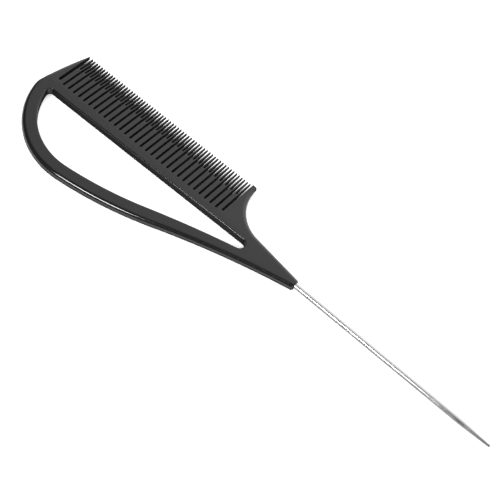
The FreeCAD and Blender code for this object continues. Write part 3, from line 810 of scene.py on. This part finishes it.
def steel_finish(tail, plan):
    """Polished steel wire: drawn lines along it, and grinding rings round the tapered tip.

    Its underside is painted darker, as painted shade that stands in for dark surroundings in its
    reflection.
    """
    finish = Finish("tail_steel_polished")
    base = Vector(tail.steel)
    foot, along = tail_axis(tail, plan)
    lengthways = finish.stretched((20, 3000, 3000), (0, 0, tail.droop))
    rings = finish.stretched((9000, 300, 300), (0, 0, tail.droop))
    drawn = finish.noise(1, 3, 0.6, lengthways)
    ground = finish.noise(1, 2, 0.5, rings)
    reach = finish.node("ShaderNodeSeparateXYZ", {}, [finish.place], output="X")
    taper_start = foot.x + (tail.free_length - tail.taper_length) * along.x
    on_taper = ((reach - taper_start) / (2 * MM)).limited()
    cloud = finish.noise(140, 3, 0.5)
    normal = finish.node("ShaderNodeNewGeometry", output="Normal")
    split = finish.node("ShaderNodeSeparateXYZ", {}, [normal], output="Z")
    # Mask of the painted shade: the wire's side whose normal points down.
    under = ((0.6 - split) / 0.3).limited()
    marks = drawn * (1 - on_taper) + ground * on_taper
    tone = finish.tint(cloud * 0.5 + drawn * 0.5, base * 0.88, base * 1.08)
    # Painted shade: a tint that darkens the wire's underside, multiplied into its colour below.
    painted_underside_shade = finish.tint(under, (1, 1, 1), (0.45, 0.45, 0.46))
    tone = finish.node("ShaderNodeMix", {"data_type": "RGBA", "blend_type": "MULTIPLY"},
                       {0: 1.0, 6: tone, 7: painted_underside_shade}, output=2)
    rough = 0.16 + (marks - 0.5) * 0.06 + on_taper * 0.06 + (cloud - 0.5) * 0.05
    grooves = finish.bump(marks, 0.0000005, 0.1)
    return finish.shade(Base_Color=tone, Metallic=1.0, Roughness=rough.limited(), Normal=grooves)


def floor_finish(stage):
    """Pale, matt floor with a faint glow of its own, so that no shadow shows on it."""
    finish = Finish("floor_pale")
    tone = finish.tint(finish.noise(3, 2, 0.5), Vector(stage.floor) * 0.99, Vector(stage.floor))
    return finish.shade(Base_Color=tone, Roughness=0.9, Emission_Color=tone,
                        Emission_Strength=stage.floor_glow)


def wear(piece, material):
    piece.data.materials.clear()
    piece.data.materials.append(material)


# ---------------------------------------------------------------- operators


class COMB_OT_moulding(bpy.types.Operator):
    """Model the moulded comb: plate, rounded edges, teeth, thinned blade and bore"""

    bl_idname = "comb.moulding"
    bl_label = "Moulded comb"

    def execute(self, context):
        size, tail = context.scene.comb_sizes, context.scene.tail_sizes
        plan = Plan(size)
        piece = draw_plate(plan)
        round_plate(piece, plan)
        cut(piece, draw_slots(plan))
        cut(piece, draw_guard_trims(plan))
        cut(piece, draw_bore(plan, tail, size.bore_play))
        thin_blade(piece, plan)
        round_teeth(piece, plan)
        smooth(piece, math.radians(35))
        wear(piece, plastic_finish(size))
        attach(piece, "root")
        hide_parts("comb_body")
        return {"FINISHED"}


class COMB_OT_tail(bpy.types.Operator):
    """Model the steel tail: buried shank, straight wire, tapered and rounded tip"""

    bl_idname = "comb.tail"
    bl_label = "Steel tail"

    def execute(self, context):
        tail, plan = context.scene.tail_sizes, Plan(context.scene.comb_sizes)
        foot, along = tail_axis(tail, plan)
        piece = turn_piece("steel_tail", foot, along, tail_stations(tail), 64)
        smooth(piece, math.radians(40))
        wear(piece, steel_finish(tail, plan))
        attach(piece, "root")
        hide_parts("tail_pin")
        return {"FINISHED"}


# Each light's name, place, the point that it faces, width, height, brightness, and whether it
# shows in glossy surfaces.
SOFTBOXES = (
    ("key", (-0.23, -0.95, 0.90), (-0.10, 0, 0), 0.46, 0.26, 28, True),
    ("tail_strip", (0.06, 0.16, 0.90), (0.06, 0, 0), 0.5, 0.5, 0.75, True),
    ("back_wall", (-0.5, 1.6, 1.5), (-0.5, 0, 1.5), 4.2, 3.0, 1.25, True),
    ("right_wall", (1.6, 0, 0.5), (0, 0, 0.5), 3.2, 0.9, 0.8, True),
    ("floor_fill", (0, 0, 2.0), (0, 0, 0), 3.0, 3.0, 0.8, False),
)


def add_softbox(name, place, target, width, height, radiance, glossy):
    """A rectangular light of a brightness, facing a point."""
    data = bpy.data.lights.new(name, "AREA")
    data.shape = "RECTANGLE"
    data.size, data.size_y = width, height
    data.energy = radiance * 4 * width * height
    box = bpy.data.objects.new(name, data)
    bpy.context.scene.collection.objects.link(box)
    box.location = place
    box.rotation_euler = (Vector(target) - Vector(place)).to_track_quat("-Z", "Y").to_euler()
    box.visible_camera = False
    box.visible_glossy = glossy


def add_world(glow):
    """Even, dim light from all round."""
    world = bpy.data.worlds.new("studio")
    world.use_nodes = True
    bpy.context.scene.world = world
    back = world.node_tree.nodes["Background"]
    back.inputs["Color"].default_value = (1, 1, 1, 1)
    back.inputs["Strength"].default_value = glow


def add_camera(stage):
    data = bpy.data.cameras.new("studio_camera")
    camera = bpy.data.objects.new("studio_camera", data)
    bpy.context.scene.collection.objects.link(camera)
    data.lens = stage.focal_length
    data.sensor_width = 36
    data.shift_x, data.shift_y = stage.lens_shift
    data.clip_start, data.clip_end = 0.01, 20
    camera.location = stage.camera_place
    camera.rotation_euler = stage.camera_turn
    bpy.context.scene.camera = camera


class COMB_OT_stage(bpy.types.Operator):
    """Set up the studio: pale floor, soft lights and the camera"""

    bl_idname = "comb.stage"
    bl_label = "Studio"

    def execute(self, context):
        stage = context.scene.stage_sizes
        deselect_all()
        bpy.ops.mesh.primitive_plane_add(size=stage.floor_size, location=(0, 0, COMB_LOW.z))
        floor = context.object
        floor.name = "studio_floor"
        bpy.ops.object.transform_apply(location=True, rotation=True, scale=True)
        wear(floor, floor_finish(stage))
        add_world(stage.world_glow)
        for light in SOFTBOXES:
            add_softbox(*light)
        add_camera(stage)
        context.scene.view_settings.view_transform = "Standard"
        return {"FINISHED"}


class COMB_PT_panel(bpy.types.Panel):
    """Lists the comb's pieces, the studio and their sizes"""

    bl_label = "Rat tail comb"
    bl_idname = "COMB_PT_panel"
    bl_space_type = "VIEW_3D"
    bl_region_type = "UI"
    bl_category = "Comb"

    def draw(self, context):
        layout = self.layout
        for operator, group in ((COMB_OT_moulding, context.scene.comb_sizes),
                                (COMB_OT_tail, context.scene.tail_sizes),
                                (COMB_OT_stage, context.scene.stage_sizes)):
            layout.operator(operator.bl_idname)
            for name in type(group).__annotations__:
                layout.prop(group, name)


CLASSES = (CombSizes, TailSizes, StageSizes, COMB_OT_moulding, COMB_OT_tail, COMB_OT_stage,
           COMB_PT_panel)


def register():
    for item in CLASSES:
        bpy.utils.register_class(item)
    bpy.types.Scene.comb_sizes = PointerProperty(type=CombSizes)
    bpy.types.Scene.tail_sizes = PointerProperty(type=TailSizes)
    bpy.types.Scene.stage_sizes = PointerProperty(type=StageSizes)


def unregister():
    del bpy.types.Scene.stage_sizes
    del bpy.types.Scene.tail_sizes
    del bpy.types.Scene.comb_sizes
    for item in reversed(CLASSES):
        bpy.utils.unregister_class(item)


def main():
    register()
    bpy.ops.comb.moulding()
    bpy.ops.comb.tail()
    bpy.ops.comb.stage()


if __name__ == "__main__":
    main()
